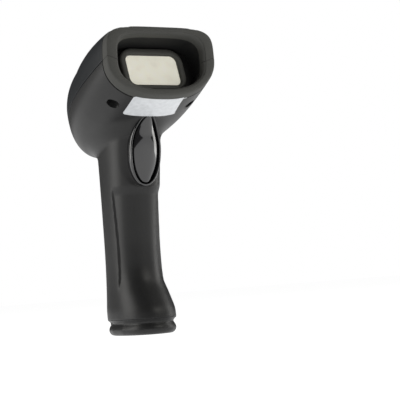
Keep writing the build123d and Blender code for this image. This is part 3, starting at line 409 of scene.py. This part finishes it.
# the handle: oval sections from the butt seam up, then a quarter-round that runs out onto the head's underside
def handleGrid():
    turn = np.linspace(0, 2 * np.pi, 221)[:-1][None, :]
    x, y = handleOval(turn, 112.0)
    join = bellyHeight(x, y) - handle["fillet"]
    share = np.concatenate([[0, 0.002, 0.005], np.linspace(0.012, 1, 170)])[:, None]
    height = handle["seam"] + 0.12 + (join - handle["seam"] - 0.12) * share
    x, y = handleOval(turn, height)
    step = smooth((handle["recessEdge"] - y) / 1.3)
    step = step * smooth((height - 24) / 9) * (1 - smooth((height - 80) / 6))
    seam = 0.25 * np.clip(1 - (height - handle["seam"]) / 0.5, 0, 1) ** 2
    inset = handle["recess"] * step + seam
    x, y = handleOval(turn, height, inset)
    outline = triggerSide(height, 0.9) - np.abs(x)
    inTrigger = (y < -8) & (height > trigger["low"] - 0.9) & (height < trigger["high"] + 0.9)
    sink = np.where(inTrigger, 5.0 * smooth(outline / 0.8), 0)
    away = np.abs(x) - triggerSide(height, trigger["ringOut"])
    dish = 0.7 * (1 - smooth(away / 4.5)) * (y < -8) * (np.abs(height - 105) < 24)
    dish = dish * (1 - smooth((np.abs(height - 105) - 18) / 6))
    y = y + sink + dish
    body = np.stack([x, y, height], axis=-1)
    turnRise = np.radians(np.linspace(0, 90, 16)[1:])[:, None]
    topX, topY = handleOval(turn, join)
    length = np.hypot(topX / 17.3, (topY + 4.5) / 23.0)
    outX, outY = topX / 17.3 ** 2 / length, (topY + 4.5) / 23.0 ** 2 / length
    scale = np.hypot(outX, outY)
    out = handle["fillet"] * (1 - np.cos(turnRise))
    filletX, filletY = topX + outX / scale * out, topY + outY / scale * out
    filletZ = bellyHeight(filletX, filletY) - handle["fillet"] * (1 - np.sin(turnRise))
    inFront = (filletY < -18) & (np.abs(filletX) < triggerSide(filletZ, 0.9))
    filletY = np.where(inFront, filletY + 5.0, filletY)
    fillet = np.stack([filletX, filletY, filletZ], axis=-1)
    return np.concatenate([body, fillet], axis=0)


# the head's underside, with two round wells; points near a well's rim are drawn onto it, so that the rim is round
def undersideGrid():
    rear = head["length"] - 74.0
    rows = np.concatenate([
        np.linspace(head["shellFront"] + 0.3, 34, 84)[:-1],
        np.linspace(34, 74, 44)[:-1],
        74 + rear * (1 - (1 - np.linspace(0, 1, 36)) ** 2),
    ])
    spread = np.linspace(-1, 1, 190)
    turn = 1.5 * np.pi + (0.5 * np.pi - 0.010) * spread[None, :]
    along, front = rows[:, None], rows[0]
    for _ in range(3):
        x, rise = headSection(turn, along + 0 * turn)
        pull = alongAtDepth(head["shellFront"], rise[:1]) - front
        along = rows[:, None] + pull * (1 - np.clip((rows[:, None] - front) / 12.0, 0, 1)) ** 2
    x, rise = headSection(turn, along)
    for side in (-1, 1):
        dx, da = x - side * well["x"], along - well["along"]
        away = np.hypot(dx, da)
        outer = (away >= well["radius"]) & (away < well["radius"] + 0.42)
        inner = (away < well["radius"]) & (away > well["radius"] - 0.42)
        wanted = np.where(outer, well["radius"], np.where(inner, well["radius"] - 0.05, away))
        scale = wanted / np.maximum(away, 1e-6)
        x, along = side * well["x"] + dx * scale, well["along"] + da * scale
        rise = rise + np.where(away < well["radius"], well["depth"], 0)
    edge = np.clip(1 + rise / 0.45, 0, 1)
    x = x - np.sign(x) * 0.28 * edge ** 2
    return drawIn(headPoint(x, along, rise), 1.0)


addPiece("lowerBody", [{"points": undersideGrid()}, {"points": handleGrid(), "wrap": True}],
         materials["grey_shell"], "housing", ["lower_shell"], 38)

mouth = {"half": 26.75, "height": 14.5, "rise": -1.6, "overPower": 4.0, "underPower": 2.5}


def mouthSection(turn, grow):
    c, s = np.cos(turn), np.sin(turn)
    power = np.where(s >= 0, mouth["overPower"], mouth["underPower"])
    size = (np.abs(c) ** power + np.abs(s) ** power) ** (-1 / power)
    return (mouth["half"] + grow) * size * c, mouth["rise"] + (mouth["height"] + grow) * size * s


# each bumper half is a closed profile carried round the mouth: the rounded outer edge, the flat face,
# a stepped lip and the wall of the mouth, each loop in a vertical plane of its own depth
bumper = {
    "outside": [(0.0, 5.0), (0.0, 1.3), (0.10, 0.6), (0.42, 0.14), (1.1, 0.0)],
    "inside": [(1.9, 0.0), (1.55, 0.10), (1.35, 0.5), (0.85, 0.62), (0.55, 0.9), (0.25, 1.5), (0.0, 2.4), (0.0, 5.0)],
    "split": 0.006,
}


def bumperGrid(begin, end):
    turn = np.linspace(begin + bumper["split"], end - bumper["split"], 240)
    loops = []
    for inset, depth in bumper["outside"]:
        along = np.zeros_like(turn)
        for _ in range(4):
            x, rise = headSection(turn, np.maximum(along, -8), inset)
            along = alongAtDepth(depth, rise)
        loops.append(headPoint(x, along, rise))
    for grow, depth in bumper["inside"]:
        x, rise = mouthSection(turn, grow)
        loops.append(headPoint(x, alongAtDepth(depth, rise), rise))
    return drawIn(np.stack(loops, axis=1), 0.9630)


for name, node, begin in (("bumperUpper", "nose_bumper_upper", 0.0), ("bumperLower", "nose_bumper_lower", np.pi)):
    addPiece(name, [{"points": bumperGrid(begin, begin + np.pi), "wrap": True, "caps": (0, -1)}],
             materials["bumper_grey"], "housing", [node], 35)

bezel = {
    "outer": (20.0, 13.2, 9.0, -0.9),
    "inner": (16.2, 9.5, 4.0, -1.5),
    "outside": [(0.0, 18.4), (0.0, 13.2), (-0.15, 12.3), (-0.6, 11.7), (-1.2, 11.5)],
    "inside": [(1.2, 11.5), (0.6, 11.62), (0.2, 12.0), (0.0, 12.6), (0.0, 14.7)],
}


# a rounded rectangle: an arc of points about each corner's centre, joined by straight runs
def roundedLoop(shape, grow, along):
    halfWidth, halfHeight, corner, rise = shape
    quarter = np.repeat(np.arange(4), 16)
    turn = quarter * np.pi / 2 + np.tile(np.linspace(0, np.pi / 2, 16), 4)
    signX, signZ = np.array([1, -1, -1, 1])[quarter], np.array([1, 1, -1, -1])[quarter]
    x = signX * (halfWidth - corner) + (corner + grow) * np.cos(turn)
    up = rise + signZ * (halfHeight - corner) + (corner + grow) * np.sin(turn)
    return headPoint(x, np.full_like(x, along), up)


bezelLoops = [roundedLoop(bezel["outer"], grow, along) for grow, along in bezel["outside"]]
bezelLoops += [roundedLoop(bezel["inner"], grow, along) for grow, along in bezel["inside"]]
bezelGrid = np.stack(bezelLoops + bezelLoops[:1], axis=0)
addPiece("windowCollar", [{"points": bezelGrid, "wrap": True}], materials["bezel_grey"], "housing",
         ["window_bezel"], 35)


# the trigger: half an ellipse across the front of each level section, running back to a flat
def triggerGrid():
    middle, reach = (trigger["low"] + trigger["high"]) / 2, (trigger["high"] - trigger["low"]) / 2 - 0.2
    height = (middle - reach * np.cos(np.linspace(0, np.pi, 90)))[:, None]
    side = triggerSide(height, -0.2)
    share = (height - middle) / (reach + 0.2)
    front = triggerFront(height) - trigger["proud"] - trigger["dome"] * (1 - share ** 2)
    bulge = np.minimum(trigger["bulge"], 0.75 * side)
    sweep = np.radians(np.linspace(-90, 90, 49))[None, :]
    x, y = side * np.sin(sweep), front + bulge - bulge * np.cos(sweep)
    dome = np.stack([x, y, height + 0 * x], axis=-1)
    flat = np.stack([side * np.array([[1, -1]]), np.full((90, 2), trigger["back"]), height + np.zeros((90, 2))], axis=-1)
    return np.concatenate([dome, flat], axis=1)


addPiece("triggerBlade", [{"points": triggerGrid(), "wrap": True, "caps": (0, -1)}], materials["gloss_black"],
         "trigger_lever", ["trigger"], 60)


# the ring: a rounded lip carried round the trigger's outline, deeper inside than out
def ringGrid():
    middle, half = (trigger["low"] + trigger["high"]) / 2, (trigger["high"] - trigger["low"]) / 2
    turn = np.linspace(0, 2 * np.pi, 181)[:-1]
    profile = [(0.4, -5.0), (0.4, -0.2), (0.55, 0.45), (0.9, 0.85), (1.3, 0.85), (1.7, 0.4), (1.9, -0.4), (1.9, -3.5)]
    loops = []
    for grow, proud in profile:
        height = middle + (half + grow) * np.sin(turn)
        side = triggerSide(height, grow) * np.sign(np.cos(turn))
        loops.append(np.stack([side, triggerFront(height) - proud, height], axis=-1))
    return np.stack(loops + loops[:1], axis=0)


addPiece("triggerRing", [{"points": ringGrid(), "wrap": True}], materials["gloss_black"], "housing",
         ["trigger_bezel"], 50)
print("shells, nose and trigger made")

for name, piece in frame["nodes"].items():
    if not piece.hide_render:
        slotName = next(row["material_slot"] for row in frame["record"]["subparts"] if row["node"] == name)
        piece.data.materials.clear()
        piece.data.materials.append(materials[slotName])
print("kept CAD nodes finished")

# the camera looks up the nose from just above the counter, turned a little to the left
camera = {"azimuth": -26.87, "elevation": -5.52, "distance": 767.64, "aim": 100.0, "roll": -4.08, "lens": 117.0,
          "centre": (126.58, 164.01), "focal": 1300.0}
azimuth, elevation = np.radians(camera["azimuth"]), np.radians(camera["elevation"])
back = Vector((np.sin(azimuth) * np.cos(elevation), -np.cos(azimuth) * np.cos(elevation), np.sin(elevation)))
right = Vector((np.cos(azimuth), np.sin(azimuth), 0))
up = back.cross(right)
roll = np.radians(camera["roll"])
rolledRight = right * np.cos(roll) + up * np.sin(roll)
rolledUp = up * np.cos(roll) - right * np.sin(roll)
aside, above = 200 - camera["centre"][0], 200 - camera["centre"][1]
look = (-back * camera["focal"] + rolledRight * aside - rolledUp * above).normalized()
lookRight = (rolledRight - look * rolledRight.dot(look)).normalized()
lookUp = lookRight.cross(look)
eye = bpy.data.objects.new("camera", bpy.data.cameras.new("camera"))
eye.data.lens = camera["lens"]
eye.data.clip_start = 0.01
spot = (Vector((0, 0, camera["aim"])) + back * camera["distance"]) * mm
basis = Matrix((lookRight, lookUp, -look)).transposed().to_4x4()
eye.matrix_world = Matrix.Translation(spot) @ basis
bpy.context.scene.collection.objects.link(eye)
bpy.context.scene.camera = eye

# soft boxes: name, place, size, power, colour; each faces the head
softBoxes = [
    ("boxLeft", (-0.80, 0.32, 0.30), (0.5, 0.9), 5.0, (1.0, 0.99, 0.96)),
    ("boxRight", (0.78, -0.20, 0.25), (0.4, 0.8), 3.4, (1.0, 0.99, 0.96)),
    ("boxFront", (0.30, -0.85, 0.60), (0.35, 0.35), 1.8, (1.0, 0.98, 0.92)),
    ("boxTop", (0.0, 0.25, 1.1), (0.7, 0.7), 2.2, (0.93, 0.97, 1.0)),
]
for name, place, size, power, colour in softBoxes:
    lamp = bpy.data.lights.new(name, "AREA")
    lamp.shape = "RECTANGLE"
    lamp.size, lamp.size_y = size
    lamp.energy = power
    lamp.color = colour
    box = bpy.data.objects.new(name, lamp)
    box.location = place
    box.rotation_mode = "QUATERNION"
    box.rotation_quaternion = (Vector((0, -0.01, 0.13)) - Vector(place)).to_track_quat("-Z", "Y")
    box.visible_camera = False
    bpy.context.scene.collection.objects.link(box)

world = bpy.data.worlds.new("studio")
world.use_nodes = True
backdrop = world.node_tree.nodes["Background"]
backdrop.inputs["Color"].default_value = (1.0, 1.0, 1.0, 1)
rays = world.node_tree.nodes.new("ShaderNodeLightPath")
strength = world.node_tree.nodes.new("ShaderNodeMapRange")
strength.inputs["To Min"].default_value = 0.08
strength.inputs["To Max"].default_value = 1.0
world.node_tree.links.new(rays.outputs["Is Camera Ray"], strength.inputs["Value"])
world.node_tree.links.new(strength.outputs["Result"], backdrop.inputs["Strength"])
bpy.context.scene.world = world
bpy.context.scene.view_settings.view_transform = "Standard"

floorMesh = bpy.data.meshes.new("floor")
floorMesh.from_pydata([(-4, -4, 0), (4, -4, 0), (4, 4, 0), (-4, 4, 0)], [], [(0, 1, 2, 3)])
floor = bpy.data.objects.new("floor", floorMesh)
bpy.context.scene.collection.objects.link(floor)
pale = bpy.data.materials.new("paleFloor")
pale.use_nodes = True
pale.node_tree.nodes["Principled BSDF"].inputs["Base Color"].default_value = (0.25, 0.25, 0.25, 1)
pale.node_tree.nodes["Principled BSDF"].inputs["Roughness"].default_value = 0.8
pale.node_tree.nodes["Principled BSDF"].inputs["Emission Color"].default_value = (1, 1, 1, 1)
pale.node_tree.nodes["Principled BSDF"].inputs["Emission Strength"].default_value = 0.96
floorMesh.materials.append(pale)
print("camera, lights and floor placed")
